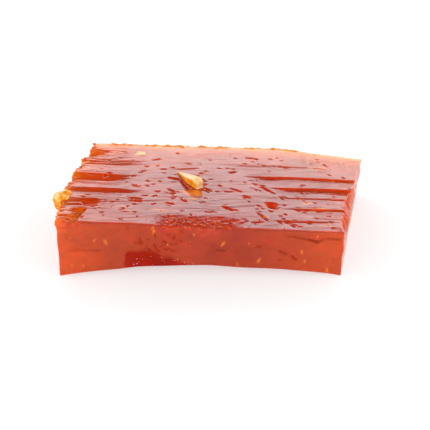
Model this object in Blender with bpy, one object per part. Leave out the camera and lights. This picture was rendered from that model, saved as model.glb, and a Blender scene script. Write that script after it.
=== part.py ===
"""One cut bar of glossy, translucent halwa with pieces of cashew set in it.

The bar is a skewed, hand-cut block: thick at its left end and thin at its right, with furrows that
run along its top, a toothed left edge and an arched dent under its front. Its front left corner,
the middle of its front edge and the upper edge of its right end are torn. Each piece of cashew that
shows at the surface is an object of its own, in a socket of the bar.

Lengths are in millimetres here, and MM turns them into Blender's metres. They are measured from the
bar's front left bottom corner: x to the right, y to the back, z up.
"""

import math

import bmesh
import bpy
import numpy as np
from mathutils import Matrix, Vector

MM = 0.001

# The outline of the bar, seen from above.
FRONT_WIDTH = 78.0
DEPTH = 52.0
LEFT_BOW = 0.0025           # how fast the left side curves inwards: mm for each mm of depth, squared
LEFT_FLARE = -0.033         # its slope at the front corner
RIGHT_SLOPE = 0.222         # the right side runs away to the right
RIGHT_LEAN = -0.6           # how far that side's foot stands out at the back
RIGHT_TEAR = 1.2            # the upper edge of that side is torn back this much
RIGHT_TEAR_FROM = 0.75      # from this share of the height up
RIGHT_TEAR_Y = (0.5, 36.0)  # and between these depths
BACK_KINK_X = 63.6          # the back edge is cut in two strokes that meet here
BACK_RISE = 0.035           # slope of the long stroke
BACK_FALL = -0.16           # slope of the short stroke

# The height of the top, and the dent under the front.
LEFT_HEIGHT = 17.75
HEIGHT_FALL = 0.0495        # mm lost for each mm to the right
BACK_SAG = 0.3              # the back edge is this much lower than the front
CORNER_SAG = 0.5            # and the back right corner this much more
ARCH_HEIGHT = 3.1           # the front's foot is lifted in a flat arch
ARCH_POWER = 0.75           # under 1 gives the arch its flat crown
ARCH_DEPTH = 14.0           # behind this the bottom is flat
UNDERCUT = 1.2              # the lower front leans back under the face
UNDERCUT_TOP = 7.5
UNDERCUT_X = (15.0, 50.0)

# Furrows along the top: y of the lowest line, rise towards the front, fall from the back, depth,
# x where it starts and ends.
FURROWS = (
    (10.4, 1.5, 3.4, 0.70, -9.0, 15.0),
    (18.4, 3.6, 1.8, 0.60, -9.0, 24.0),
    (27.2, 6.0, 3.0, 1.10, -9.0, 21.0),
    (36.6, 4.6, 3.4, 0.55, -9.0, 24.0),
    (43.2, 2.4, 4.6, 1.15, -9.0, 14.0),
    (5.2, 3.0, 0.7, 0.25, 58.0, 79.0),
    (12.3, 5.0, 0.7, 0.38, 62.0, 99.0),
    (18.9, 4.4, 0.5, 0.20, 60.0, 99.0),
    (25.1, 5.0, 0.9, 0.62, 58.0, 99.0),
    (32.3, 5.2, 0.6, 0.46, 50.0, 99.0),
    (39.2, 4.0, 1.4, 0.18, 44.0, 82.0),
)
FURROW_FADE = 9.0           # a furrow deepens over this length
FURROW_DRIFT = 0.3          # and wanders this much from a straight line
FURROW_FALL = 1.0           # the steepest fall that the block's cells can follow

# Teeth that the knife left on the left edge: y, reach.
TEETH = ((20.4, 0.7), (30.4, 0.6), (40.4, 0.6), (50.9, 0.5))
TOOTH_HALF = 1.6

# Hollows in the top: x, y, half length, half width, depth.
HOLLOWS = (
    (8.2, 11.8, 3.2, 2.4, 0.55),
    (59.2, 14.0, 2.2, 2.4, 0.35),
    (20.4, 14.2, 2.8, 1.4, 0.35),
)

# The torn stretch of the front edge, and the torn front left corner with the wall at its right.
TEAR_X = (25.0, 53.0)
TEAR_DEPTH = 0.7
TEAR_WIDTH = 6.5
CORNER_WALL_X = 5.0
CORNER_WALL_LEAN = 0.30     # the wall leans to the right as it runs back
CORNER_REACH = 5.0
CORNER_BACK = 7.8
CORNER_DEPTH = 0.9

# The box's middle, seen from above, which becomes the origin.
MIDDLE_X = 43.4
MIDDLE_Y = 26.9

# How finely the block is cut into faces before it is shaped.
CELLS_X = 26
CELLS_Y = 52
CELLS_Z = 4

GAP = 0.3                   # clearance of a nut in its socket

# Colours, linear.
GEL_RED = (0.47, 0.045, 0.006, 1.0)
NUT_CREAM = (0.82, 0.62, 0.36, 1.0)
NUT_GOLD = (0.84, 0.45, 0.10, 1.0)


def smooth(t):
    """0 below 0, 1 above 1, and an even rise between."""
    t = np.clip(t, 0.0, 1.0)
    return t * t * (3.0 - 2.0 * t)


def left_side(y, height):
    """height is 0 at the foot and 1 at the top edge, where the teeth stand out."""
    side = LEFT_FLARE * y + LEFT_BOW * y * y
    for tooth_y, reach in TEETH:
        tooth = reach * np.clip(1.0 - abs(y - tooth_y) / TOOTH_HALF, 0.0, 1.0)
        side = side - tooth * height ** 2
    return side


def right_side(y, height):
    side = FRONT_WIDTH + RIGHT_SLOPE * y + RIGHT_LEAN * (y / DEPTH) * (1.0 - height)
    near, far = RIGHT_TEAR_Y
    along = smooth((y - near) / 5.0) * smooth((far - y) / 14.0)
    upper = np.clip((height - RIGHT_TEAR_FROM) / (1.0 - RIGHT_TEAR_FROM), 0.0, 1.0)
    return side - RIGHT_TEAR * along * upper


def back_side(x):
    kink_y = DEPTH - 0.6 + BACK_RISE * BACK_KINK_X
    stroke = np.where(x < BACK_KINK_X, BACK_RISE, BACK_FALL)
    return kink_y + stroke * (x - BACK_KINK_X)


def furrows(x, y):
    """Each has a crisp lip, a fall at its far side, which faces the front, and a long near slope."""
    depth = np.zeros_like(x)
    for at_y, near, far, deep, x_from, x_to in FURROWS:
        away = y - at_y - FURROW_DRIFT * np.sin(x / 5.3 + at_y)
        fall = np.clip(1.0 - away / max(far, FURROW_FALL), 0.0, 1.0)
        across = np.where(away < 0.0, smooth(1.0 + away / near), fall)
        along = smooth((x - x_from) / FURROW_FADE) * smooth((x_to - x) / FURROW_FADE)
        depth = depth + deep * across * along
    return depth


def hollows(x, y):
    depth = np.zeros_like(x)
    for at_x, at_y, half_x, half_y, deep in HOLLOWS:
        away = ((x - at_x) / half_x) ** 2 + ((y - at_y) / half_y) ** 2
        depth = depth + deep * smooth(1.0 - away)
    return depth


def tears(x, y):
    along = smooth((x - TEAR_X[0]) / 5.0) * smooth((TEAR_X[1] - x) / 8.0)
    edge = along * np.clip(1.0 - y / TEAR_WIDTH, 0.0, 1.0) ** 1.5
    away = x - (CORNER_WALL_X + CORNER_WALL_LEAN * y)
    across = np.where(away > 0.0, np.clip(1.0 - away, 0.0, 1.0), smooth(1.0 + away / CORNER_REACH))
    corner = across * smooth((CORNER_BACK - y) / 1.5)
    return TEAR_DEPTH * edge + CORNER_DEPTH * corner


def top_height(x, y):
    height = LEFT_HEIGHT - HEIGHT_FALL * x - BACK_SAG * y / DEPTH
    height = height - CORNER_SAG * smooth((x - BACK_KINK_X) / 24.0) * smooth((y - 36.0) / 14.0)
    return height - furrows(x, y) - hollows(x, y) - tears(x, y)


def foot_height(x, y):
    across = np.clip(np.sin(math.pi * np.clip(x / FRONT_WIDTH, 0.0, 1.0)), 0.0, 1.0)
    return ARCH_HEIGHT * across ** ARCH_POWER * np.clip(1.0 - y / ARCH_DEPTH, 0.0, 1.0) ** 2


def undercut(x, z):
    x_from, x_to = UNDERCUT_X
    across = smooth((x - x_from) / 8.0) * smooth((x_to - x) / 10.0)
    return UNDERCUT * across * np.clip(1.0 - z / UNDERCUT_TOP, 0.0, 1.0) ** 1.5


def bar_points(u, v, w):
    """Where a point of the unit block goes: u to the right, v to the back, w up."""
    y = v * DEPTH
    x = left_side(y, w) + u * (right_side(y, w) - left_side(y, w))
    y = v * back_side(x)
    foot = foot_height(x, y)
    z = foot + w * (top_height(x, y) - foot)
    return x, y + undercut(x, z) * (1.0 - v) ** 6, z


def placed(x, y, z):
    """Millimetres from the front left corner as metres from the origin."""
    return np.stack([(x - MIDDLE_X) * MM, (y - MIDDLE_Y) * MM, z * MM], axis=-1)


def material(name, colour, roughness):
    made = bpy.data.materials.new(name)
    made.use_nodes = True
    shader = made.node_tree.nodes["Principled BSDF"]
    shader.inputs["Base Color"].default_value = colour
    shader.inputs["Roughness"].default_value = roughness
    shader.inputs["Metallic"].default_value = 0.0
    return made


def new_object(name, mesh, collection, finish=None):
    made = bpy.data.objects.new(name, mesh)
    collection.objects.link(made)
    if finish:
        mesh.materials.append(finish)
    return made


def slice_block(mesh, axis, cells):
    """Cuts a unit block into equal layers along an axis."""
    normal = Vector((0.0, 0.0, 0.0))
    normal[axis] = 1.0
    for i in range(1, cells):
        cut_at = normal * (i / cells)
        geometry = mesh.verts[:] + mesh.edges[:] + mesh.faces[:]
        bmesh.ops.bisect_plane(mesh, geom=geometry, plane_co=cut_at, plane_no=normal)


def build_bar(collection, finish):
    shape = bmesh.new()
    bmesh.ops.create_cube(shape, size=1.0, matrix=Matrix.Translation((0.5, 0.5, 0.5)))
    for axis, cells in enumerate((CELLS_X, CELLS_Y, CELLS_Z)):
        slice_block(shape, axis, cells)
    block = np.array([vert.co for vert in shape.verts], dtype=float)
    shaped = placed(*bar_points(block[:, 0], block[:, 1], block[:, 2]))
    for vert, point in zip(shape.verts, shaped):
        vert.co = point
    flat = [vert for vert in shape.verts if vert.co.z < 1e-7 and not on_outline(vert)]
    bmesh.ops.dissolve_verts(shape, verts=flat)
    bmesh.ops.triangulate(shape, faces=shape.faces[:])
    mesh = bpy.data.meshes.new("halwa_slab")
    shape.to_mesh(mesh)
    shape.free()
    return new_object("halwa_slab", mesh, collection, finish)


def on_outline(vert):
    """True where the flat bottom meets a side or the arch."""
    return any(corner.co.z > 1e-7 for face in vert.link_faces for corner in face.verts)


# The pieces of cashew. Each is an oval lump: centre, size, turn in degrees about X, Y and Z, and
# flat knife cuts, each a direction in the lump's own frame and a distance from its centre.
CASHEWS = {
    "cashew_sliver": {
        "centre": (37.7, 24.85, 16.0), "size": (25.2, 7.2, 8.8), "turn": (0.0, 0.0, -61.0),
        "cuts": (
            ((-0.092, -1.0, -0.22), 2.24), ((0.133, -1.0, -0.22), 1.74),
            ((-0.2, -0.1, 1.0), 2.62), ((1.0, 0.3, -0.30), 2.1),
            ((-0.19, 1.0, 0.15), 0.52), ((0.0, 0.0, -1.0), 3.0),
            ((1.0, 1.1, 0.9), 2.9), ((0.6, -0.2, 1.0), 3.3),
        ),
    },
    "cashew_chunk": {
        "centre": (-0.1, 14.4, 16.3), "size": (5.3, 7.1, 5.2), "turn": (0.0, 8.0, -18.0),
        "cuts": (
            ((0.3, 0.0, 1.0), 2.1), ((-0.5, -1.0, 0.1), 2.5),
            ((-0.8, 0.5, 0.7), 2.3), ((0.9, -0.6, 0.5), 2.3),
        ),
    },
    "cashew_chip": {
        "centre": (19.9, 45.2, 16.0), "size": (3.6, 3.0, 2.0), "turn": (0.0, 0.0, 20.0),
        "cuts": (((0, 0, 1), 0.65), ((1, 0, 0), 1.3)),
    },
    "cashew_back_left": {
        "centre": (24.0, 51.2, 9.2), "size": (9.0, 6.4, 5.6), "turn": (0.0, 14.0, 2.0),
        "cuts": (
            ((0, 1, 0), 1.4), ((1, -0.2, 0.9), 2.7),
            ((-0.5, 0, -1), 2.0), ((-1, 0.1, 0.35), 3.4),
        ),
    },
    "cashew_back_right": {
        "centre": (57.0, 52.2, 6.4), "size": (6.6, 6.0, 5.0), "turn": (0.0, -22.0, 2.0),
        "cuts": (
            ((0, 1, 0), 1.55), ((-1, 0.2, 0.9), 1.9),
            ((-0.9, 0.1, -0.5), 2.3), ((0.7, 0, 1), 2.1),
        ),
    },
    "cashew_end": {
        "centre": (3.0, 35.4, 8.4), "size": (6.0, 8.4, 5.4), "turn": (12.0, 0.0, -6.0),
        "cuts": (
            ((-1, 0, 0), 1.35), ((0, 1, 0.9), 2.4),
            ((0, -1, 0.6), 3.0), ((0, 0.2, -1), 2.1),
        ),
    },
}


def cashew_mesh(name, grow):
    """The lump with its cuts, larger by grow all round."""
    lump = CASHEWS[name]
    shape = bmesh.new()
    bmesh.ops.create_icosphere(shape, subdivisions=3, radius=1.0)
    bmesh.ops.scale(shape, vec=[side / 2.0 + grow for side in lump["size"]], verts=shape.verts)
    for direction, distance in lump["cuts"]:
        normal = Vector(direction).normalized()
        geometry = shape.verts[:] + shape.edges[:] + shape.faces[:]
        cut = bmesh.ops.bisect_plane(
            shape, geom=geometry, dist=1e-5, plane_co=normal * (distance + grow),
            plane_no=normal, clear_outer=True,
        )
        rim = [part for part in cut["geom_cut"] if isinstance(part, bmesh.types.BMEdge)]
        bmesh.ops.contextual_create(shape, geom=rim)
    turn = Matrix.Identity(4)
    for degrees, axis in zip(lump["turn"], "XYZ"):
        turn = Matrix.Rotation(math.radians(degrees), 4, axis) @ turn
    centre = Vector(placed(*(np.array(c) for c in lump["centre"])))
    bmesh.ops.triangulate(shape, faces=shape.faces[:])
    bmesh.ops.recalc_face_normals(shape, faces=shape.faces[:])
    shape.transform(Matrix.Translation(centre) @ turn @ Matrix.Scale(MM, 4))
    mesh = bpy.data.meshes.new(name)
    shape.to_mesh(mesh)
    shape.free()
    return mesh


def cut_socket(bar, name, cutters):
    """Hollows the bar around one nut, with the clearance all round it."""
    cutter = new_object(name + "_socket", cashew_mesh(name, GAP), cutters)
    cutter.hide_render = True
    cutter.display_type = "WIRE"
    socket = bar.modifiers.new(cutter.name, "BOOLEAN")
    socket.operation = "DIFFERENCE"
    socket.object = cutter


def main():
    for old in list(bpy.data.objects):
        bpy.data.objects.remove(old, do_unlink=True)
    halwa = bpy.data.collections.new("halwa")
    cutters = bpy.data.collections.new("cutters")
    for collection in (halwa, cutters):
        bpy.context.scene.collection.children.link(collection)

    gel = material("gel", GEL_RED, 0.2)
    cream = material("cut_cashew", NUT_CREAM, 0.5)
    gold = material("coated_cashew", NUT_GOLD, 0.3)

    bar = build_bar(halwa, gel)
    for name in CASHEWS:
        finish = gold if name == "cashew_chunk" else cream
        new_object(name, cashew_mesh(name, 0.0), halwa, finish)
        cut_socket(bar, name, cutters)


main()
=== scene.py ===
# %% [markdown]
# # A cut bar of halwa with cashew
# The sweet is a stiff, glossy, translucent gel that was cut by hand into bars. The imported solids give
# its true size and place. This script gives it its looks: a finely cut mesh for the furrowed skin and
# the torn edges, a gel that glows where it is thin, and pieces of cashew with pale knife cuts.

# %% Load the fixed frame
import math

import bpy
import numpy as np
from mathutils import Matrix, Vector, noise


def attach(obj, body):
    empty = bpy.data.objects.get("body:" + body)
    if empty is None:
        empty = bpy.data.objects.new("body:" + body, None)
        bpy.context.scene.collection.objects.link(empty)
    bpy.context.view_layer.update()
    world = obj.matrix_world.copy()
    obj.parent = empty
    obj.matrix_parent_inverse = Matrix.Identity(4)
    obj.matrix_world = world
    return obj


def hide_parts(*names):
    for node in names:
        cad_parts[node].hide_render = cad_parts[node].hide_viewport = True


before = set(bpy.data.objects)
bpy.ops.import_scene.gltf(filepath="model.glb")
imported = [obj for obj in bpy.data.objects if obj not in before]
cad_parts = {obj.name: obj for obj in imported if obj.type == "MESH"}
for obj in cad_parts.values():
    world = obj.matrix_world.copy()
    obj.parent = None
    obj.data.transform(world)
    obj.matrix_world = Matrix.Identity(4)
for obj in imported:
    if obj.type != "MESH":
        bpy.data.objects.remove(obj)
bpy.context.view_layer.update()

# %% [markdown]
# Lengths below are in millimetres from the bar's front left bottom corner: x to the right, y to the
# back, z up. Two functions turn them into the frame's metres, whose origin is under the bar's middle,
# one for whole arrays of points and one for a single point. Objects could be scaled instead, but then
# every finished mesh would have to be unscaled again at the end.

# %% Millimetres to the frame
MM = 0.001
MIDDLE_X = 43.4
MIDDLE_Y = 26.9


def placed(x, y, z):
    return np.stack([(x - MIDDLE_X) * MM, (y - MIDDLE_Y) * MM, z * MM], axis=-1)


def spot(x, y, z):
    return Vector(((x - MIDDLE_X) * MM, (y - MIDDLE_Y) * MM, z * MM))


print("front left corner, in m:", [round(side, 4) for side in spot(0.0, 0.0, 0.0)])

# %% [markdown]
# The photo looks down at the bar from the front, almost from its middle. The camera could be moved
# about until the picture looks right, but the converging edges of the bar already say where it stood:
# 219 mm in front of the bar and 139 mm up. Its spot sets the perspective, and its pitch and lens only
# choose what part of the view is kept, which here is the bar.

# %% Camera
CAMERA_SPOT = (43.03, -219.44, 139.49)
CAMERA_PITCH = 28.7
CAMERA_LENS = 78.0
CAMERA_SENSOR = 36.0
CAMERA_NEAR = 0.01
CAMERA_FAR = 20.0


def add_camera():
    bpy.ops.object.camera_add(location=spot(*CAMERA_SPOT))
    camera = bpy.context.object
    camera.name = "photo_camera"
    camera.rotation_euler = (math.radians(90.0 - CAMERA_PITCH), 0.0, 0.0)
    camera.data.sensor_width = CAMERA_SENSOR
    camera.data.lens = CAMERA_LENS
    camera.data.clip_start = CAMERA_NEAR
    camera.data.clip_end = CAMERA_FAR
    bpy.context.scene.camera = camera


add_camera()
print("camera:", CAMERA_LENS, "mm lens, looking down by", CAMERA_PITCH, "degrees")

# %% [markdown]
# The real bar was lit in a white tent. Area lamps could do that, but each would show its own outline
# in the wet skin, so the world itself glows, more or less with the height in the sky. The skin mirrors
# the tent's bright sides as a milky veil. The more it tips towards the viewer, the higher and darker
# the part of the tent that it mirrors, so the veil thins out and the deep red shows.

# %% Light tent
TENT_STOPS = (
    # share of the way up, glow
    (0.0, 3.5), (0.07, 3.7), (0.13, 1.6), (0.29, 1.6),
    (0.38, 4.0), (0.47, 3.65), (0.61, 2.0), (0.72, 0.22),
)


def add_ramp(tree, stops):
    ramp = tree.nodes.new("ShaderNodeValToRGB")
    elements = ramp.color_ramp.elements
    while len(elements) < len(stops):
        elements.new(0.5)
    for element, (position, value) in zip(elements, stops):
        element.position = position
        element.color = (value, value, value, 1.0)
    return ramp


def add_tent():
    world = bpy.data.worlds.new("light_tent")
    bpy.context.scene.world = world
    world.use_nodes = True
    tree = world.node_tree
    background = tree.nodes["Background"]
    background.inputs["Color"].default_value = (1.0, 1.0, 1.0, 1.0)
    where = tree.nodes.new("ShaderNodeTexCoord")
    parts = tree.nodes.new("ShaderNodeSeparateXYZ")
    ramp = add_ramp(tree, TENT_STOPS)
    tree.links.new(where.outputs["Generated"], parts.inputs[0])
    tree.links.new(parts.outputs["Z"], ramp.inputs["Fac"])
    tree.links.new(ramp.outputs["Color"], background.inputs["Strength"])


add_tent()
bpy.context.scene.view_settings.view_transform = "Standard"
print("light tent: glow", TENT_STOPS[0][1], "at the horizon and", TENT_STOPS[-1][1], "overhead")

# %% [markdown]
# The table is a sheet of white acrylic. A plain white plane would take all its brightness from the
# tent, and the shadow on it would be dark. So the sheet is half grey and glows a little by itself, as
# if it were lit from below: it stays almost pure white, with only a soft contact shadow on it.

# %% White table
TABLE_SIZE = 6.0
TABLE_GREY = (0.50, 0.50, 0.50, 1.0)
TABLE_GLOW = 0.48


def add_table():
    bpy.ops.mesh.primitive_plane_add(size=TABLE_SIZE, location=(0.0, 0.0, 0.0))
    table = bpy.context.object
    table.name = "white_table"
    finish = bpy.data.materials.new("white_table")
    finish.use_nodes = True
    shader = finish.node_tree.nodes["Principled BSDF"]
    shader.inputs["Base Color"].default_value = TABLE_GREY
    shader.inputs["Roughness"].default_value = 0.9
    shader.inputs["Specular IOR Level"].default_value = 0.2
    shader.inputs["Emission Color"].default_value = (1.0, 1.0, 1.0, 1.0)
    shader.inputs["Emission Strength"].default_value = TABLE_GLOW
    table.data.materials.append(finish)


add_table()
print("table:", TABLE_SIZE, "m wide")

# %% [markdown]
# ## The bar's own form
# The outline is the solid's: four sides cut with a knife, none of them quite square. The left end bows
# in, the right end splays out, and the back was cut in two strokes that meet at a kink. It could be
# drawn as a curve, but each side is a small formula here, as it is in the coarse solid, so that the
# two forms agree.

# %% Outline of the bar
FRONT_WIDTH = 78.0
DEPTH = 52.0
LEFT_BOW = 0.0025
LEFT_FLARE = -0.033
RIGHT_SLOPE = 0.222
RIGHT_LEAN = -0.6
RIGHT_TEAR = 1.2
RIGHT_TEAR_LOW = 0.78
RIGHT_TEAR_SPAN = (0.5, 5.0, 36.0, 14.0)
BACK_INSET = 0.6
BACK_KINK_X = 63.6
BACK_RISE = 0.035
BACK_FALL = -0.16
TEETH = ((20.4, 0.7), (30.4, 0.6), (40.4, 0.6), (50.9, 0.5))
TOOTH_HALF = 1.6


def smooth(t):
    t = np.clip(t, 0.0, 1.0)
    return t * t * (3.0 - 2.0 * t)


def between(t, start, start_fade, end, end_fade):
    """Rises from 0 at start to 1 within start_fade, and falls to 0 within end_fade before end."""
    return smooth((t - start) / start_fade) * smooth((end - t) / end_fade)


def left_side(y, height):
    side = LEFT_FLARE * y + LEFT_BOW * y * y
    for tooth_y, reach in TEETH:
        tooth = reach * np.clip(1.0 - abs(y - tooth_y) / TOOTH_HALF, 0.0, 1.0)
        side = side - tooth * height ** 2
    return side


def right_tear(y):
    """How far the upper edge of the right end is torn back, from 0 to 1."""
    return between(y, *RIGHT_TEAR_SPAN)


def right_side(y, height):
    side = FRONT_WIDTH + RIGHT_SLOPE * y + RIGHT_LEAN * (y / DEPTH) * (1.0 - height)
    upper = smooth((height - RIGHT_TEAR_LOW) / (1.0 - RIGHT_TEAR_LOW))
    return side - RIGHT_TEAR * right_tear(y) * upper


def back_side(x):
    kink_y = DEPTH - BACK_INSET + BACK_RISE * BACK_KINK_X
    stroke = np.where(x < BACK_KINK_X, BACK_RISE, BACK_FALL)
    return kink_y + stroke * (x - BACK_KINK_X)


print("right end splays out by, in mm:", round(float(right_side(DEPTH, 1.0) - right_side(0.0, 1.0)), 1))

# %% [markdown]
# The skin of the set sweet is pulled into furrows that run along the bar. Each has a crisp lip, a
# steep fall towards the front and a long gentle rise, like laid tiles. They are deep at both ends and
# fade out in the middle. They could be sculpted by hand, but with one row of numbers for each furrow
# they can be set beside the photo one by one, and come out the same in every run.

# %% Furrows and hollows
LEFT_HEIGHT = 17.75
HEIGHT_FALL = 0.0495
BACK_SAG = 0.3
CORNER_SAG = 0.5
CORNER_SAG_Y = 36.0
CORNER_SAG_FADES = (24.0, 14.0)
FURROWS = (
    # y of the lowest line, rise towards the front, fall from the back, depth, x from and to
    (10.4, 1.5, 3.4, 0.70, -9.0, 15.0),
    (18.4, 3.6, 1.8, 0.60, -9.0, 24.0),
    (27.2, 6.0, 3.0, 1.10, -9.0, 21.0),
    (36.6, 4.6, 3.4, 0.55, -9.0, 24.0),
    (43.2, 2.4, 4.6, 1.15, -9.0, 14.0),
    (5.2, 3.0, 0.4, 0.25, 58.0, 79.0),
    (12.3, 5.0, 0.5, 0.38, 62.0, 99.0),
    (18.9, 4.4, 0.4, 0.20, 60.0, 99.0),
    (25.1, 5.0, 0.6, 0.62, 58.0, 99.0),
    (32.3, 5.2, 0.4, 0.46, 50.0, 99.0),
    (39.2, 4.0, 1.4, 0.18, 44.0, 82.0),
)
FURROW_FADE = 9.0
FURROW_DRIFT = 0.3
DRIFT_LENGTH = 5.3
HOLLOWS = (
    # middle x and y, half length, half width, depth
    (8.2, 11.8, 3.2, 2.4, 0.55),
    (59.2, 14.0, 2.2, 2.4, 0.35),
    (20.4, 14.2, 2.8, 1.4, 0.35),
)


def furrows(x, y):
    depth = np.zeros_like(x)
    for at_y, near, far, deep, x_from, x_to in FURROWS:
        away = y - at_y - FURROW_DRIFT * np.sin(x / DRIFT_LENGTH + at_y)
        across = np.where(away < 0.0, smooth(1.0 + away / near), np.clip(1.0 - away / far, 0.0, 1.0))
        along = between(x, x_from, FURROW_FADE, x_to, FURROW_FADE)
        depth = depth + deep * across * along
    return depth


def hollows(x, y):
    depth = np.zeros_like(x)
    for at_x, at_y, half_x, half_y, deep in HOLLOWS:
        away = ((x - at_x) / half_x) ** 2 + ((y - at_y) / half_y) ** 2
        depth = depth + deep * smooth(1.0 - away)
    return depth


print("furrows:", len(FURROWS), "up to", max(row[3] for row in FURROWS), "mm deep")

# %% [markdown]
# The front edge has torn open in its middle, and the front left corner has broken away. Cutting these
# with a Boolean would leave walls as clean as a knife's, so both are soft hollows in the same height
# field as the furrows, and the crumbs that fill them come further on.

# %% Tears and the height of the skin
TEAR_SPAN = (25.0, 5.0, 53.0, 8.0)
TEAR_DEPTH = 0.7
TEAR_WIDTH = 6.5
CORNER_WALL_X = 5.0
CORNER_WALL_LEAN = 0.30
CORNER_WALL_WIDTH = 0.5
CORNER_REACH = 5.0
CORNER_BACK = 7.8
CORNER_FADE = 1.5
CORNER_DEPTH = 0.9


def front_tear(x, y):
    """How far the torn stretch of the front edge is worn down, from 0 to 1."""
    return between(x, *TEAR_SPAN) * np.clip(1.0 - y / TEAR_WIDTH, 0.0, 1.0) ** 1.5


def torn_corner(x, y):
    """The torn front left corner: a crisp wall at its right, and a slope that climbs to the left."""
    away = x - (CORNER_WALL_X + CORNER_WALL_LEAN * y)
    wall = np.clip(1.0 - away / CORNER_WALL_WIDTH, 0.0, 1.0)
    across = np.where(away > 0.0, wall, smooth(1.0 + away / CORNER_REACH))
    return across * smooth((CORNER_BACK - y) / CORNER_FADE)


def skin_height(x, y):
    fade_x, fade_y = CORNER_SAG_FADES
    height = LEFT_HEIGHT - HEIGHT_FALL * x - BACK_SAG * y / DEPTH
    sag = CORNER_SAG * smooth((x - BACK_KINK_X) / fade_x) * smooth((y - CORNER_SAG_Y) / fade_y)
    height = height - sag - furrows(x, y) - hollows(x, y)
    return height - TEAR_DEPTH * front_tear(x, y) - CORNER_DEPTH * torn_corner(x, y)


front_ends = skin_height(np.array([8.0, FRONT_WIDTH]), np.zeros(2))
print("height of the front, left and right, in mm:", front_ends.round(1).tolist())

# %% [markdown]
# The underside is flat, except along the front, where the soft bar bends up in a low arch. Above the
# arch the front face draws in a little. A lattice could bend the finished block, but the foot is one
# more height field, so that the rows between foot and skin spread out by themselves.

# %% Arched foot
ARCH_HEIGHT = 3.1
ARCH_POWER = 0.75
ARCH_DEPTH = 14.0
UNDERCUT = 1.2
UNDERCUT_TOP = 7.5
UNDERCUT_SPAN = (15.0, 8.0, 50.0, 10.0)


def foot_height(x, y):
    across = np.clip(np.sin(math.pi * np.clip(x / FRONT_WIDTH, 0.0, 1.0)), 0.0, 1.0)
    return ARCH_HEIGHT * across ** ARCH_POWER * np.clip(1.0 - y / ARCH_DEPTH, 0.0, 1.0) ** 2


def undercut(x, z):
    across = between(x, *UNDERCUT_SPAN)
    return UNDERCUT * across * np.clip(1.0 - z / UNDERCUT_TOP, 0.0, 1.0) ** 1.5


print("arch, in mm:", round(float(foot_height(FRONT_WIDTH / 2.0, 0.0)), 1))

# %% [markdown]
# ## Fine relief
# Everything below is finer than the solid's cells: low ripples of the skin, gouges and pits where
# bubbles broke, and crumbly tears. Blender's own noise takes one point at a time, which is slow for
# more than a hundred thousand of them. A sum of a few sine waves with seeded directions is smooth too,
# takes a whole array at once, and is the same in every run.

# %% Smooth noise
WAVES = 9
WAVE_SUM = 3.6


def wobble(x, y, seed, long_x, long_y):
    """Smooth noise of about -1 to 1, with waves about long_x by long_y millimetres."""
    random = np.random.default_rng(seed)
    total = np.zeros_like(x)
    for _ in range(WAVES):
        turn_x = math.pi * random.normal() / long_x
        turn_y = math.pi * random.normal() / long_y
        total = total + np.sin(turn_x * x + turn_y * y + random.uniform(0.0, 6.283))
    return total / WAVE_SUM


sample = wobble(np.linspace(0.0, FRONT_WIDTH, 500), np.zeros(500), 3, 6.0, 4.0)
print("noise from", round(float(sample.min()), 2), "to", round(float(sample.max()), 2))

# %% [markdown]
# The ripples run along the bar, as the furrows do. Four sizes are laid over each other, and each
# swells and fades across the bar, so that no stretch repeats. They could be a bump in the material,
# but real relief also shows in the outline and in the mesh itself. They are low, a few hundredths
# of a millimetre, because the tent's mirror image shows the smallest tilt of a wet skin.

# %% Ripples
RIPPLES = (
    # wavelength, height, seed
    (6.4, 0.064, 3),
    (2.9, 0.032, 13),
    (1.5, 0.015, 23),
    (0.95, 0.009, 43),
)
RIPPLE_DRIFT = 0.55
DRAG_LENGTH = 1.35
DRAG_HEIGHT = 0.036
CORNER_GRAIN = 0.045
CREASE_DEPTH = 0.015
CREASE_WIDTH = 0.10
SKIN_GRAIN = 0.018


def long_ripples(x, y):
    """Strongest at the left end, and calm towards the back."""
    total = np.zeros_like(x)
    for length, height, seed in RIPPLES:
        drift = RIPPLE_DRIFT * length * wobble(x, y, seed, 6.0 * length, 4.0 * length)
        swell = 0.55 + 0.45 * wobble(x, y, seed + 1, 4.0 * length, 2.4 * length)
        total = total + height * swell * np.sin(2.0 * math.pi * (y + drift) / length)
    ends = 0.8 * np.exp(-np.clip(x, 0.0, None) / 12.0) + 0.20 * smooth((x - 46.0) / 20.0)
    return total * (0.45 + ends) * (1.0 - 0.45 * smooth((y - 30.0) / 10.0) * smooth((x - 10.0) / 12.0))


def ripples(x, y):
    """Long ripples, drag lines at the left end, grain at the back right, and creases everywhere."""
    drag = np.sin(2.0 * math.pi * (y + 0.5 * wobble(x, y, 37, 14.0, 5.0)) / DRAG_LENGTH)
    total = long_ripples(x, y)
    total = total + DRAG_HEIGHT * drag * smooth((24.0 - x) / 12.0) * smooth((y - 8.0) / 4.0)
    grain = CORNER_GRAIN * wobble(x, y, 45, 1.1, 0.8)
    total = total + grain * smooth((x - 66.0) / 8.0) * smooth((y - 35.0) / 6.0)
    creases = np.exp(-(wobble(x, y, 39, 4.6, 1.7) / CREASE_WIDTH) ** 2)
    return total - CREASE_DEPTH * creases + SKIN_GRAIN * wobble(x, y, 33, 3.0, 1.3)


for at_x in (5.0, 40.0):
    sample = ripples(np.full(500, at_x), np.linspace(0.0, DEPTH, 500))
    print("ripples at x =", at_x, "from lowest to highest, in mm:", round(float(np.ptp(sample)), 2))
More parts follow.
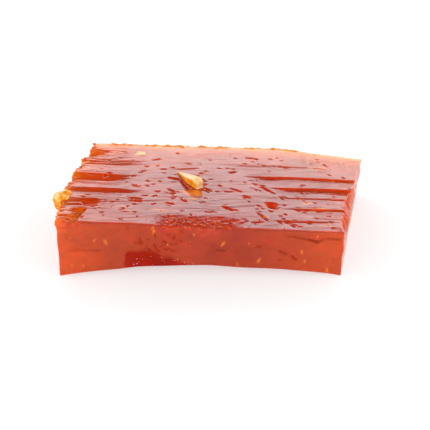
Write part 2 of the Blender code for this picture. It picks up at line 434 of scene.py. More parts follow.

# %% [markdown]
# Where a bubble broke or the knife caught, the skin has a gouge: a stroke with a steep far wall and a
# gentle near one. A rule could scatter them, but the photo shows each of the larger ones, and their
# places are a good part of the likeness. So these are listed one by one, each with its start and end.

# %% Gouges listed one by one
GOUGES = (
    # start x and y, end x and y, half width, depth
    (30.9, 34.8, 38.2, 36.4, 0.45, 0.30),
    (29.3, 29.2, 32.4, 28.2, 0.80, 0.45),
    (29.6, 21.4, 31.4, 19.9, 0.55, 0.40),
    (18.7, 13.8, 22.5, 13.4, 0.75, 0.50),
    (18.2, 15.6, 19.8, 15.0, 0.45, 0.30),
    (23.7, 40.8, 26.2, 41.9, 0.50, 0.30),
    (47.6, 34.2, 49.1, 35.0, 0.60, 0.40),
    (39.5, 23.5, 42.3, 21.0, 0.50, 0.35),
    (47.7, 23.6, 50.9, 21.8, 0.50, 0.40),
    (51.4, 19.1, 53.3, 18.0, 0.60, 0.40),
    (56.1, 26.1, 60.9, 21.0, 0.55, 0.45),
    (61.6, 19.8, 63.2, 17.6, 0.45, 0.35),
    (57.9, 15.4, 60.5, 12.5, 1.00, 0.60),
    (45.4, 12.0, 48.1, 10.1, 0.65, 0.50),
    (54.9, 9.4, 57.7, 4.6, 0.50, 0.45),
    (44.7, 3.5, 50.1, 4.6, 0.45, 0.35),
    (53.0, 3.5, 56.5, 4.2, 0.45, 0.30),
    (60.4, 4.9, 61.5, 3.4, 0.50, 0.35),
    (30.6, 28.8, 32.4, 27.6, 0.55, 0.45),
    (32.6, 28.4, 35.8, 22.0, 0.60, 0.70),
    (38.8, 22.9, 41.6, 20.1, 0.40, 0.40),
    (30.5, 18.8, 31.3, 19.1, 0.50, 0.40),
    (33.5, 15.4, 34.9, 14.4, 0.60, 0.45),
    (29.0, 28.8, 29.9, 29.0, 0.35, 0.30),
    (29.9, 36.0, 30.7, 36.0, 0.55, 0.35),
    (38.4, 33.0, 39.4, 33.0, 0.50, 0.35),
    (39.5, 25.6, 40.6, 25.8, 0.45, 0.35),
    (29.2, 13.1, 31.4, 12.3, 0.45, 0.40),
    (26.6, 34.6, 28.3, 34.8, 0.40, 0.30),
    (20.2, 31.9, 21.3, 31.8, 0.35, 0.30),
    (20.0, 11.3, 21.1, 11.4, 0.40, 0.35),
    (11.9, 12.4, 12.7, 12.5, 0.35, 0.30),
    (15.1, 13.6, 15.9, 13.7, 0.35, 0.30),
    (18.3, 9.2, 18.8, 10.4, 0.35, 0.30),
    (25.2, 16.5, 26.6, 17.3, 0.40, 0.35),
    (25.4, 11.7, 26.3, 12.4, 0.40, 0.35),
    (82.4, 27.8, 83.0, 24.4, 0.40, 0.35),
    (52.7, 45.6, 54.9, 45.2, 0.35, 0.30),
)
print("gouges:", len(GOUGES))

# %% [markdown]
# Between the gouges lie some two hundred small pits. Placing each by hand would gain nothing, because
# only their number, size and direction catch the eye, so a seeded rule draws them. They crowd a little
# towards the front left, and slant more and more towards the right end.

# %% Seeded pits
PIT_COUNT = 205


def seeded_pits():
    random = np.random.default_rng(41)
    marks = []
    for _ in range(PIT_COUNT):
        x = 4.0 + 78.0 * random.random() ** 1.15
        y = 2.0 + 45.0 * random.random() ** 1.1
        reach = 0.2 + 0.75 * random.random() ** 2
        turn = math.radians(random.normal(-4.0 - 0.35 * x, 13.0))
        half = 0.24 + 0.28 * random.random() ** 1.5
        along_x = reach * math.cos(turn)
        along_y = reach * math.sin(turn)
        deep = half * random.uniform(0.6, 1.0)
        marks.append((x - along_x, y - along_y, x + along_x, y + along_y, half, deep))
    return marks


PITS = seeded_pits()
print("pits:", len(PITS))

# %% [markdown]
# A mark is cut into a height field by its distance along and across its own line. Thousands of points
# lie far from any one mark, so only those within its reach are worked out. Where two marks cross, the
# deeper one counts.

# %% How a mark cuts
STEEP_WALL = 0.8
GENTLE_WALL = 1.3


def cut_marks(x, y, marks):
    """Depth of the deepest mark at each point, where the walls are in half widths of the mark."""
    depth = np.zeros_like(x)
    for from_x, from_y, to_x, to_y, half, deep in marks:
        reach = math.hypot(to_x - from_x, to_y - from_y)
        along_x = (to_x - from_x) / reach
        along_y = (to_y - from_y) / reach
        off_x = x - (from_x + to_x) / 2.0
        off_y = y - (from_y + to_y) / 2.0
        near = np.flatnonzero(off_x ** 2 + off_y ** 2 < (0.5 * reach + 2.0 * half) ** 2)
        along = (off_x[near] * along_x + off_y[near] * along_y) / (0.5 * reach + half)
        across = (off_y[near] * along_x - off_x[near] * along_y) / half
        wall = np.where(across > 0.0, 1.0 - across / STEEP_WALL, 1.0 + across / GENTLE_WALL)
        depth[near] = np.maximum(depth[near], deep * smooth(1.0 - along ** 2) * smooth(wall))
    return depth


print("deepest gouge, in mm:", max(row[5] for row in GOUGES))
print("deepest pit, in mm:", round(max(row[5] for row in PITS), 2))

# %% [markdown]
# Where the skin has torn, the gel breaks into little rounded crumbs. A cell noise, whose value is the
# distance to the nearest seeded point, has just that shape, where smooth noise would only give waves.
# It is slow, so it runs only where the skin is torn: in the front left corner and along the middle of
# the front edge.

# %% Crumbly tears
CRUMB_SIZE = 0.62
TOP_CRUMBS = 0.48
NOTCH_DEPTH = 0.45
LIP_HEIGHT = 0.07
CRUMBLE_SPAN = (26.0, 5.0, 53.0, 7.0)


def crumbs(x, y, strength, seed):
    """Height of the crumbs for every point whose strength, from 0 to 1, is not nearly 0."""
    height = np.zeros_like(x)
    for i in np.flatnonzero(strength > 0.02):
        place = Vector((x[i] / CRUMB_SIZE, y[i] / (0.8 * CRUMB_SIZE), seed))
        distances, _ = noise.voronoi(place)
        height[i] = strength[i] * (0.5 - distances[0]) + 0.3 * strength[i] * noise.noise(2.6 * place)
    return height


def edge_notches(x, y):
    """Depth of the small notches along the left edge, where the knife dragged the skin."""
    near = smooth(1.0 - (x - left_side(y, 1.0)) / 2.2)
    return NOTCH_DEPTH * near * np.clip(wobble(0.2 * x, y, 35, 2.0, 0.9), 0.0, None)


def crumbly(x, y):
    """Where the top is torn into crumbs, from 0 to 1."""
    edge = between(x, *CRUMBLE_SPAN) * smooth((7.5 - y) / 4.5)
    return np.maximum(edge, torn_corner(x, y) * smooth((x - 0.5) / 2.0))


def front_lip(x, y):
    """A thin raised lip along the whole stretches of the front edge."""
    whole = smooth((x - 4.5) / 1.0) * (1.0 - between(x, 21.0, 5.0, 56.0, 5.0))
    return LIP_HEIGHT * whole * np.exp(-((y - 0.2) / 0.28) ** 2)


print("crumbs:", CRUMB_SIZE, "mm wide, from x =", CRUMBLE_SPAN[0], "to", CRUMBLE_SPAN[2])

# %% [markdown]
# The skin, its fine relief and the foot now come together in one function, which takes a place in the
# block, as shares of its width, depth and height, and says where that place lies on the real bar.

# %% Where each place of the bar lies
def top_height(x, y):
    height = skin_height(x, y) + ripples(x, y) + front_lip(x, y)
    height = height - cut_marks(x, y, GOUGES) - cut_marks(x, y, PITS)
    return height + TOP_CRUMBS * crumbs(x, y, crumbly(x, y), 0.0) - edge_notches(x, y)


def bar_points(u, v, w):
    """The real place, in millimetres, of shares of the width, the depth and the height."""
    y = v * DEPTH
    x = left_side(y, w) + u * (right_side(y, w) - left_side(y, w))
    y = v * back_side(x)
    foot = foot_height(x, y)
    z = foot + w * (top_height(x, y) - foot)
    return x, y + undercut(x, z) * (1.0 - v) ** 6, z


middle = bar_points(*np.array([[0.5], [0.5], [1.0]]))
print("middle of the top, in mm:", [round(float(side[0]), 1) for side in middle])

# %% [markdown]
# ## The block
# The block starts as a flat grid that is pulled up into a slab, and its upright edges are then cut
# into rows. That gives a mesh whose every point knows its place as a share of the width, depth and
# height, so that the functions above can move it where it belongs. The helpers here read and set its
# points, and choose its edges and faces.

# %% Small helpers for the mesh
def nothing_selected():
    if bpy.context.mode != "OBJECT":
        bpy.ops.object.mode_set(mode="OBJECT")
    bpy.ops.object.select_all(action="DESELECT")


def only_selected(piece):
    nothing_selected()
    piece.select_set(True)
    bpy.context.view_layer.objects.active = piece


def vectors_of(items, name):
    """One row of three numbers for each item, such as each point of a mesh."""
    flat = np.empty(len(items) * 3, dtype=np.float32)
    items.foreach_get(name, flat)
    return flat.reshape(-1, 3)


def points_of(piece):
    return vectors_of(piece.data.vertices, "co").astype(np.float64)


def normals_of(piece):
    return vectors_of(piece.data.vertices, "normal").astype(np.float64)


def face_middles(piece):
    return vectors_of(piece.data.polygons, "center")


def face_slopes(piece):
    return vectors_of(piece.data.polygons, "normal")


def set_points(piece, points):
    piece.data.vertices.foreach_set("co", np.ascontiguousarray(points, dtype=np.float32).ravel())
    piece.data.update()


def select_only(piece, kind, chosen):
    """Selects the chosen edges or polygons of a mesh, whichever the kind names, and nothing else."""
    for name in ("vertices", "edges", "polygons"):
        items = getattr(piece.data, name)
        items.foreach_set("select", chosen if name == kind else np.zeros(len(items), dtype=bool))
    bpy.context.tool_settings.mesh_select_mode = (False, kind == "edges", kind == "polygons")


# %% [markdown]
# The slab of set halwa is one body, so it is one mesh. Its grid has cells of about a third of a
# millimetre, which is the size of the finest wrinkle that the photo shows, and fewer rows in height,
# because the knife faces are calm. A remesh would give even cells too, but its rows would not follow
# the edges. The extrude pulls the flat grid up, and one subdivide cuts the upright edges that it leaves.

# %% The grid becomes a block
CELLS_X = 250
CELLS_Y = 214
CELLS_Z = 32
FOOT_SHARE = 1e-6


def add_block(name):
    """A block of one by one by one, whose points say which share of each side they stand for."""
    nothing_selected()
    bpy.ops.mesh.primitive_grid_add(
        x_subdivisions=CELLS_X, y_subdivisions=CELLS_Y, size=1.0, location=(0.5, 0.5, 0.0)
    )
    made = bpy.context.object
    made.name = name
    made.data.name = name
    bpy.ops.object.transform_apply(location=True, rotation=False, scale=False)
    bpy.ops.object.mode_set(mode="EDIT")
    bpy.ops.mesh.select_all(action="SELECT")
    bpy.ops.mesh.extrude_region_move(TRANSFORM_OT_translate={"value": (0.0, 0.0, 1.0)})
    bpy.ops.object.mode_set(mode="OBJECT")
    height = points_of(made)[:, 2]
    ends = np.empty(len(made.data.edges) * 2, dtype=np.int32)
    made.data.edges.foreach_get("vertices", ends)
    ends = ends.reshape(-1, 2)
    select_only(made, "edges", abs(height[ends[:, 0]] - height[ends[:, 1]]) > 0.5)
    bpy.ops.object.mode_set(mode="EDIT")
    bpy.ops.mesh.subdivide(number_cuts=CELLS_Z - 1)
    bpy.ops.object.mode_set(mode="OBJECT")
    return made


block = add_block("halwa_gel")
unit = points_of(block)
is_foot = face_middles(block)[:, 2] < FOOT_SHARE
print("block:", len(block.data.vertices), "points,", len(block.data.polygons), "faces")

# %% [markdown]
# A knife leaves an edge that is crisp but not razor sharp. A Bevel can be no wider than the cells
# beside it, and these are small. So the rows by each edge are drawn close together, and a point near
# two or three faces is pulled in onto a small round.

# %% Close rows and rounded edges
EDGE_ROWS = (0.0, 0.06, 0.14, 0.26)
ROUNDING = 0.22


def spaced(share, cells, length):
    """Moves even shares so that the rows by both ends lie EDGE_ROWS millimetres from them."""
    edge = np.array(EDGE_ROWS)
    steps = np.arange(len(edge))
    knots = np.concatenate([steps, cells - steps[::-1]])
    places = np.concatenate([edge, length - edge[::-1]])
    return np.interp(share * cells, knots, places) / length


def rounding_pull(u, v, w):
    """How far a point moves in x, y and z, in millimetres, to round the block's edges."""
    lengths = (FRONT_WIDTH, DEPTH, LEFT_HEIGHT)
    parts = []
    for share, length in zip((u, v, w), lengths):
        outward = np.where(share < 0.5, -1.0, 1.0)
        parts.append(outward * np.clip(ROUNDING - length * np.minimum(share, 1.0 - share), 0.0, None))
    reach = np.sqrt(parts[0] ** 2 + parts[1] ** 2 + parts[2] ** 2)
    shrink = ROUNDING / np.maximum(reach, ROUNDING) - 1.0
    return [part * shrink for part in parts]


print("first rows from an edge, in mm:", EDGE_ROWS[1:], "and its round:", ROUNDING)

# %% [markdown]
# The knife faces are smooth but never flat. The front keeps a few clear dents, which are placed from
# the photo, and many small ones along two slanting trails. The back is not seen, so a seeded rule
# gives it dents of the same kind.

# %% Dents of the knife faces
FRONT_DENTS = (
    # start x and z, end x and z, half width, depth
    (1.0, 8.5, 13.6, 8.2, 0.30, 0.14),
    (62.0, 13.0, 69.1, 11.6, 0.42, 0.20),
    (68.6, 11.7, 71.2, 10.8, 0.70, 0.40),
    (71.0, 11.0, 72.9, 11.8, 0.45, 0.25),
    (72.7, 11.9, 77.6, 11.6, 0.40, 0.20),
    (74.9, 14.8, 77.7, 13.8, 0.35, 0.20),
    (60.4, 8.1, 63.2, 7.0, 0.45, 0.25),
    (64.2, 6.5, 65.7, 5.1, 0.45, 0.25),
    (60.6, 5.2, 61.4, 5.0, 0.35, 0.18),
    (43.1, 8.5, 45.9, 8.1, 0.45, 0.25),
    (54.3, 9.5, 55.8, 9.5, 0.45, 0.25),
    (30.9, 8.1, 32.2, 8.1, 0.40, 0.22),
    (19.0, 15.5, 19.6, 14.9, 0.35, 0.20),
    (22.2, 11.6, 23.4, 10.8, 0.45, 0.25),
    (26.7, 14.0, 26.9, 12.8, 0.45, 0.30),
    (26.5, 10.8, 27.0, 7.8, 0.35, 0.20),
)
TRAIL_DENTS = 46
TRAIL_STARTS = ((19.5, 14.5), (33.0, 14.2))
TRAIL_END = (27.0, 8.2)
BACK_DENT_COUNT = 22


def trail_dents():
    """Small dents that follow two slanting trails across the front face."""
    random = np.random.default_rng(47)
    marks = []
    for _ in range(TRAIL_DENTS):
        share = random.random()
        from_x, from_z = TRAIL_STARTS[0 if random.random() < 0.45 else 1]
        x = from_x + share * (TRAIL_END[0] - from_x) + random.normal(0.0, 1.5)
        z = from_z + share * (TRAIL_END[1] - from_z) + random.normal(0.0, 1.0)
        reach = 0.1 + 0.5 * random.random() ** 2
        half = 0.22 + 0.18 * random.random()
        marks.append((x - reach, z + 0.3 * reach, x + reach, z - 0.3 * reach, half, 0.7 * half))
    return marks


def back_dents():
    """Dents like those of the front, spread over the whole back."""
    random = np.random.default_rng(67)
    marks = []
    for _ in range(BACK_DENT_COUNT):
        x = random.uniform(4.0, 84.0)
        z = random.uniform(3.0, 13.0)
        reach = 0.2 + 3.0 * random.random() ** 3
        half = 0.28 + 0.22 * random.random()
        marks.append((x - reach, z + 0.15 * reach, x + reach, z - 0.15 * reach, half, 0.5 * half))
    return marks


FRONT_MARKS = list(FRONT_DENTS) + trail_dents()
BACK_MARKS = back_dents()
print("dents in front and back:", len(FRONT_MARKS), len(BACK_MARKS))

# %% [markdown]
# Each face gets its own outward relief: slow waves from the blade, the dents, and on the ends the drag
# lines of a pull through stiff gel. A Displace modifier would move the points along their normals,
# and those of an edge point away from both faces. So each relief moves points along one axis only, and
# dies away within about two millimetres of its face.

# %% Relief of the knife faces
SIDE_FADE = 0.7
FRONT_CRUMBS = 0.45
FRONT_WORN = 0.35


def front_crumble(x, z):
    """Where the tears of the top run over onto the front face, from 0 to 1."""
    middle = between(x, 26.0, 4.0, 51.0, 9.0) * smooth((z - 12.0) / 3.0)
    corner = smooth((7.0 - x) / 2.0) * smooth((z - 14.4) / 1.6)
    return np.maximum(middle, corner)


def front_relief(x, z):
    """Outward distance of the front face's relief, in millimetres."""
    torn = front_crumble(x, z)
    slow = 0.16 * wobble(x, z, 51, 16.0, 9.0) + 0.05 * wobble(x, z, 52, 5.0, 3.5)
    fine = (0.012 + 0.06 * torn) * wobble(x, z, 53, 1.7, 1.1)
    worn = slow + fine - FRONT_WORN * torn - cut_marks(x, z, FRONT_MARKS)
    return worn + FRONT_CRUMBS * crumbs(x, z, torn, 7.0)


def back_relief(x, z):
    slow = 0.16 * wobble(x, z, 61, 14.0, 9.0) + 0.05 * wobble(x, z, 62, 4.5, 3.0)
    return slow + 0.015 * wobble(x, z, 63, 1.8, 1.2) - cut_marks(x, z, BACK_MARKS)


def left_relief(y, z):
    drag = 0.10 * wobble(y, z, 71, 3.0, 12.0)
    ragged = 0.45 * wobble(y, z, 74, 1.2, 4.0) + 0.20 * wobble(y, z, 75, 0.5, 2.0)
    jags = smooth((z - 12.5) / 4.0) * ragged
    return drag + jags + 0.14 * wobble(y, z, 72, 9.0, 7.0) + 0.05 * wobble(y, z, 73, 1.8, 1.4)


def right_rough(y, z):
    """How rough the torn upper part of the right end is, from 0 to 1."""
    return right_tear(y) * smooth((z - 7.5) / 4.0)


def right_relief(y, z):
    waves = 0.34 * wobble(y, z, 81, 5.0, 6.0) * smooth((z - 4.0) / 6.0)
    streaks = (0.05 + 0.18 * right_rough(y, z)) * wobble(y, z, 84, 1.5, 5.0)
    return waves + streaks + 0.10 * wobble(y, z, 83, 9.0, 7.0)


sample = front_relief(np.linspace(0.0, FRONT_WIDTH, 500), np.full(500, 8.0))
print("relief of the front, from lowest to highest, in mm:", round(float(np.ptp(sample)), 2))

# %% [markdown]
# Now every point is moved once. First the outline, the skin and the foot put it in its place, then
# each of the four knife faces adds its relief, and last the edges are pulled round. It could be done
# by sculpting, but in code every run gives the same bar.

# %% Shape the block
u = spaced(unit[:, 0], CELLS_X, FRONT_WIDTH)
v = spaced(unit[:, 1], CELLS_Y, DEPTH)
w = spaced(unit[:, 2], CELLS_Z, LEFT_HEIGHT)
x, y, z = bar_points(u, v, w)
y = y - front_relief(x, z) * np.exp(-v * DEPTH / SIDE_FADE)
y = y + back_relief(x, z) * np.exp(-(1.0 - v) * DEPTH / SIDE_FADE)
x = x - left_relief(y, z) * np.exp(-u * FRONT_WIDTH / SIDE_FADE)
x = x + right_relief(y, z) * np.exp(-(1.0 - u) * FRONT_WIDTH / SIDE_FADE)
pull_x, pull_y, pull_z = rounding_pull(u, v, w)
set_points(block, placed(x + pull_x, y + pull_y, z + pull_z))
print("ripples from lowest to highest, in mm:", round(float(np.ptp(ripples(x, y))), 2))

# %% [markdown]
# ## Colour of the gel
# One gel shows many colours, and most of them are light that has gone through it: wine red where it is
# deep, red on the slopes that the light gets into, orange at both ends and amber where it thins out to
# an edge. Absorption in a volume could give them, but it renders slowly. So they are painted light: a
# colour for every point, worked out from its place and its slope, is painted into an attribute that the
# material reads.

# %% Palette of the gel
GEL_DEEP = (0.262, 0.0080, 0.0010)
GEL_SHADE = (0.200, 0.0045, 0.0008)
GEL_WALL = (0.490, 0.0300, 0.0050)
GEL_RED = (0.318, 0.0200, 0.0014)
GEL_ORANGE = (0.475, 0.0535, 0.0014)
GEL_AMBER = (0.850, 0.2600, 0.0140)
GEL_RUST = (0.600, 0.0900, 0.0020)
GEL_ARCH_SHADE = (0.270, 0.0050, 0.0006)


def mixed(below, above, share):
    return below + (np.asarray(above) - below) * np.clip(share, 0.0, 1.0)[:, None]


def from_frame(points):
    return points[:, 0] / MM + MIDDLE_X, points[:, 1] / MM + MIDDLE_Y, points[:, 2] / MM


print("half amber, half red:", mixed(np.array([GEL_RED]), GEL_AMBER, np.array([0.5])).round(3).tolist())

# %% [markdown]
# The knife faces are painted redder in the middle and more orange near both ends, as light through the
# gel shows them: painted light. A patch of painted shade lies low on the front, over the arch, bits of
# nut just under the face have a painted amber glow round them, and painted shade darkens the dents.
# The patch and the flecks of the front are where the photo has them, and those of the hidden faces are
# made like them.

# %% Paint of the knife faces
FRONT_FLECKS = (
    # x and z on the front, and size
    (13.1, 10.9, 0.9), (10.1, 11.4, 0.45), (30.0, 10.0, 0.6), (45.2, 10.3, 0.9), (55.1, 5.1, 0.8),
    (66.9, 7.6, 0.7), (67.8, 4.8, 0.6), (74.1, 1.8, 0.9), (70.9, 12.5, 0.5), (49.2, 4.0, 0.5),
    (26.5, 14.3, 0.9), (26.2, 15.6, 0.6), (52.4, 10.3, 0.4), (37.3, 13.2, 0.5), (3.4, 3.2, 0.4),
    (6.7, 3.4, 0.4),
)
BACK_FLECKS = (
    # x and z on the back, and size
    (7.8, 5.6, 0.8), (13.9, 11.8, 0.5), (34.6, 5.1, 0.7), (38.9, 11.2, 0.9), (46.2, 8.0, 0.5),
    (49.5, 3.4, 0.6), (66.4, 9.9, 0.9), (72.8, 4.6, 0.6), (79.7, 8.2, 0.8), (84.9, 3.1, 0.5),
)
END_FLECKS = (
    # y and z on the left end, and size
    (7.2, 6.8, 0.8), (14.6, 11.4, 0.5), (22.3, 4.7, 0.7), (28.4, 10.2, 0.5), (44.8, 4.6, 0.8),
)
ARCH_SHADE_X = (17.3, 18.8, 26.2, 29.9, 32.7, 35.5, 38.4, 44.0)
ARCH_SHADE_TOP = (3.4, 8.0, 7.7, 6.0, 5.2, 3.9, 3.3, 2.6)
FACE_REACH = 4.0
FLECK_GLOW = 0.5
DENT_SHADE = 0.55
DENT_DEPTH = 0.14


def arch_shade(x, z):
    """How far a point of the front lies in the painted shade over the arch, from 0 to 1."""
    ragged = 0.5 * wobble(x, z, 92, 3.4, 2.2)
    inside = smooth((np.interp(x, ARCH_SHADE_X, ARCH_SHADE_TOP) + ragged - z) / 3.0 + 0.5)
    return inside * smooth((x - 15.8 + 2.4 * ragged) / 3.6) * smooth((46.0 - x) / 6.0)


def halo(along, z, flecks):
    """The painted amber glow round the flecks of one face, from 0 to 1."""
    glow = np.zeros_like(along)
    for at, at_z, size in flecks:
        leaning = 0.7 * math.sin(7.0 * at) * (z - at_z)
        away = ((along - at - leaning) / (0.6 * size)) ** 2 + ((z - at_z) / (1.2 * size)) ** 2
        glow = np.maximum(glow, smooth(1.2 * (1.0 - away)))
    return glow


def face_paint(x, y, z, to_left, v):
    """Colour of the knife faces, with painted light, painted shade and a painted glow round the flecks.
    """
    face = np.tile(np.array(GEL_RED), (len(x), 1))
    # Painted light: orange towards both ends, where light comes through the gel.
    face = mixed(face, GEL_ORANGE, 1.15 * np.exp(-to_left / 17.0))
    face = mixed(face, GEL_ORANGE, 0.85 * smooth((x - 46.0) / 34.0))
    in_front = smooth(1.0 - v * DEPTH / FACE_REACH)
    in_back = smooth(1.0 - (1.0 - v) * DEPTH / FACE_REACH)
    at_end = smooth(1.0 - to_left / FACE_REACH)
    # Painted shade over the arch.
    face = mixed(face, GEL_ARCH_SHADE, 0.9 * in_front * smooth(1.5 * arch_shade(x, z) - 0.2))
    # Painted amber glow round the flecks.
    face = mixed(face, GEL_AMBER, FLECK_GLOW * in_front * halo(x, z, FRONT_FLECKS))
    face = mixed(face, GEL_AMBER, FLECK_GLOW * in_back * halo(x, z, BACK_FLECKS))
    face = mixed(face, GEL_AMBER, FLECK_GLOW * at_end * halo(y, z, END_FLECKS))
    # Painted shade in the dents, darker the deeper they are.
    for marks, near in ((BACK_MARKS, in_back), (FRONT_MARKS, in_front)):
        face = mixed(face, GEL_SHADE, DENT_SHADE * smooth(cut_marks(x, z, marks) / DENT_DEPTH) * near)
    return face


print("flecks in front, back and left end:", len(FRONT_FLECKS), len(BACK_FLECKS), len(END_FLECKS))

# %% [markdown]
# The top is wine red, because the light that comes back has gone deepest there. Painted light makes it
# clearer on every slope that tips forward and in every cut, and orange towards the ends and the back.
# Painted amber glows lie where nut is close below, and in front of the sliver, whose golden face the gel
# mirrors. A noise texture would put these anywhere, so they are painted by place.

# %% Paint of the top
PAINTED_GLOWS = (
    # middle x and y, half length, half width, strength
    (36.9, 19.6, 3.2, 2.6, 0.75),
    (33.7, 20.1, 1.8, 0.9, 0.60),
    (36.9, 16.1, 1.6, 0.7, 0.70),
    (27.5, 8.4, 3.0, 0.9, 0.50),
    (66.6, 18.6, 1.8, 0.5, 0.50),
    (69.8, 16.2, 2.6, 0.9, 0.45),
    (72.6, 13.4, 3.4, 0.8, 0.35),
    (84.6, 45.2, 2.2, 1.2, 0.70),
    (75.0, 40.5, 3.2, 1.0, 0.35),
    (62.5, 46.6, 1.6, 0.9, 0.60),
    (57.0, 7.0, 1.4, 0.7, 0.45),
    (73.0, 3.6, 2.4, 0.8, 0.45),
)


def bare_hollow(x, y):
    """Above 0 in the hollows whose skin is gone, with a ragged outline."""
    return hollows(x, y) - 0.22 + 0.10 * wobble(x, y, 93, 1.6, 1.0)


def corner_band(x, y):
    """Where the torn corner shows rough orange gel, from 0 to 1."""
    to_wall = CORNER_WALL_X + CORNER_WALL_LEAN * y - x
    width = 3.6 + 0.6 * np.clip(4.0 - y, 0.0, 4.0)
    across = smooth(to_wall / 0.4 + 0.5) * smooth((width - to_wall) / 1.2)
    return across * smooth((CORNER_BACK + 1.0 - y) / 1.5)


def skin_paint(x, y, slope, to_left, to_right, to_back):
    """Colour of the top: deep red, and painted light, clearer on slopes and in cuts, orange at the ends.
    """
    # Painted light: clearer red on slopes that tip forward, in bare hollows and in cuts.
    tips_forward = smooth((-slope[:, 1] - 0.10) / 0.35)
    cuts = np.maximum(cut_marks(x, y, GOUGES), cut_marks(x, y, PITS))
    skin = np.tile(np.array(GEL_DEEP), (len(x), 1))
    bare = smooth(bare_hollow(x, y) / 0.08)
    skin = mixed(skin, GEL_WALL, np.maximum(np.maximum(tips_forward, bare), smooth(cuts / 0.2)))
    # Painted light: orange towards the ends and the back, rust and amber near the back edge.
    skin = mixed(skin, GEL_ORANGE, 1.0 * np.exp(-to_left / 11.0) + 0.5 * np.exp(-to_right / 7.0))
    skin = mixed(skin, GEL_ORANGE, 0.7 * np.exp(-to_back / 8.0))
    skin = mixed(skin, GEL_RUST, 0.45 * np.exp(-(to_back / 5.0) ** 2) * smooth((x - 20.0) / 20.0))
    skin = mixed(skin, GEL_AMBER, 0.35 * np.exp(-to_back / 7.0) * (0.4 + 0.6 * smooth((x - 50.0) / 15.0)))
    # Painted amber glows where nut lies close below and where the sliver is mirrored.
    patchy = 0.7 + 0.5 * wobble(x, y, 97, 1.4, 0.8)
    for at_x, at_y, half_x, half_y, strength in PAINTED_GLOWS:
        away = ((x - at_x) / half_x) ** 2 + ((y - at_y) / half_y) ** 2
        skin = mixed(skin, GEL_AMBER, strength * patchy * smooth(1.3 * (1.0 - away)))
    return skin


print("spots of amber in the top:", len(PAINTED_GLOWS))

# %% [markdown]
# The two paints meet where the block turns from top to side. Over them come the torn stretches, with a
# grain of light and dark gel, a painted glow of rust and amber along the thin upper edges, where light
# comes through, the rust of the torn corner, and a thin line of painted shade just under the front edge.
# These could be layers of nodes with a mask each, but one function that lays paint over paint is easier
# to read, and the material stays small.

# %% Paint on the block
RIM_SHADE = 0.6


def torn_paint(colour, torn, grain):
    """Torn gel is paler, with dark and orange grains."""
    colour = mixed(colour, GEL_WALL, 0.6 * torn)
    colour = mixed(colour, GEL_SHADE, 0.35 * torn * smooth(-1.6 * grain - 0.1))
    return mixed(colour, GEL_ORANGE, 0.9 * torn * smooth(1.6 * grain - 0.4))


def gel_paint(piece):
    x, y, z = from_frame(points_of(piece))
    slope = normals_of(piece)
    to_left = np.clip(x - left_side(y, 1.0), 0.0, None)
    to_right = np.clip(right_side(y, 1.0) - x, 0.0, None)
    to_back = np.clip(back_side(x) - y, 0.0, None)
    on_top = smooth((slope[:, 2] - 0.35) / 0.3)
    face = face_paint(x, y, z, to_left, v)
    skin = skin_paint(x, y, slope, to_left, to_right, to_back)
    colour = mixed(face, skin, on_top)

    torn = np.maximum(crumbly(x, y) * on_top, front_crumble(x, z) * smooth(1.0 - v * DEPTH / 2.0))
    grain = wobble(x + 0.6 * z, y + z, 91, 0.8, 0.7)
    colour = torn_paint(colour, torn, grain)

    # Painted glow: rust and amber along the thin back and left edges, fading down the faces.
    below_edge = (1.0 - w) * LEFT_HEIGHT
    sunk = below_edge * (1.0 + 0.4 * wobble(x + y, z, 94, 7.0, 5.0)) * (1.0 - on_top)
    colour = mixed(colour, GEL_RUST, 0.50 * np.exp(-to_back / 8.0 - sunk / 5.0))
    colour = mixed(colour, GEL_AMBER, 0.90 * np.exp(-(to_back / 2.4) ** 2 - sunk / 1.8))
    colour = mixed(colour, GEL_AMBER, 0.5 * np.exp(-to_left / 1.2 - sunk / 2.2))

    band = corner_band(x, y) * on_top
    colour = mixed(colour, GEL_RUST, band)
    colour = mixed(colour, GEL_DEEP, 0.8 * band * smooth(-2.0 * grain - 0.3))
    # Painted shade: a thin dark line just under the front edge.
    rim = smooth(1.0 - v * DEPTH / 0.12) * smooth(below_edge / 0.15) * smooth((0.9 - below_edge) / 0.4)
    return mixed(colour, GEL_SHADE, RIM_SHADE * rim * (1.0 - torn))


def paint(piece, colours):
    layer = piece.data.attributes.new("body_colour", "FLOAT_COLOR", "POINT")
    full = np.ones((len(colours), 4), dtype=np.float32)
    full[:, :3] = colours
    layer.data.foreach_set("color", full.ravel())


paint(block, gel_paint(block))
print("painted", len(unit), "points")

# %% [markdown]
# The real bar lies flat on its underside behind the arch. A Decimate modifier could find the flat part
# by itself, but it would take cells from the calm stretches of the top too. So only the faces that lie
# on the table are dissolved into one. The mesh is then shaded smooth, and its round edges carry the
# light.

# %% Flat foot and shading
ON_THE_TABLE = 1e-7

select_only(block, "polygons", is_foot & (face_middles(block)[:, 2] < ON_THE_TABLE))
bpy.ops.object.mode_set(mode="EDIT")
bpy.ops.mesh.dissolve_faces()
bpy.ops.object.mode_set(mode="OBJECT")
only_selected(block)
bpy.ops.object.shade_smooth()
print("gel:", len(block.data.polygons), "faces")

# %% [markdown]
# Gel and nut are uneven all through, so both of their materials start from the painted colour and
# break it up with noise. An image could hold such a pattern, but noise in the object's own space needs
# no unwrapping, has no seams and stays on the surface in every view. These helpers make the nodes.

# %% Nodes that the materials share
NOISE_DETAIL = 3.0
EVEN = (1.0, 1.0, 1.0)
MIX_SHARE, MIX_BELOW, MIX_ABOVE = 0, 6, 7
MIX_RESULT = 2


def painted_material(name):
    """A new material, its nodes, its shader and the socket that gives the painted colour."""
    made = bpy.data.materials.new(name)
    made.use_nodes = True
    tree = made.node_tree
    body = tree.nodes.new("ShaderNodeAttribute")
    body.attribute_name = "body_colour"
    return made, tree, tree.nodes["Principled BSDF"], body.outputs["Color"]


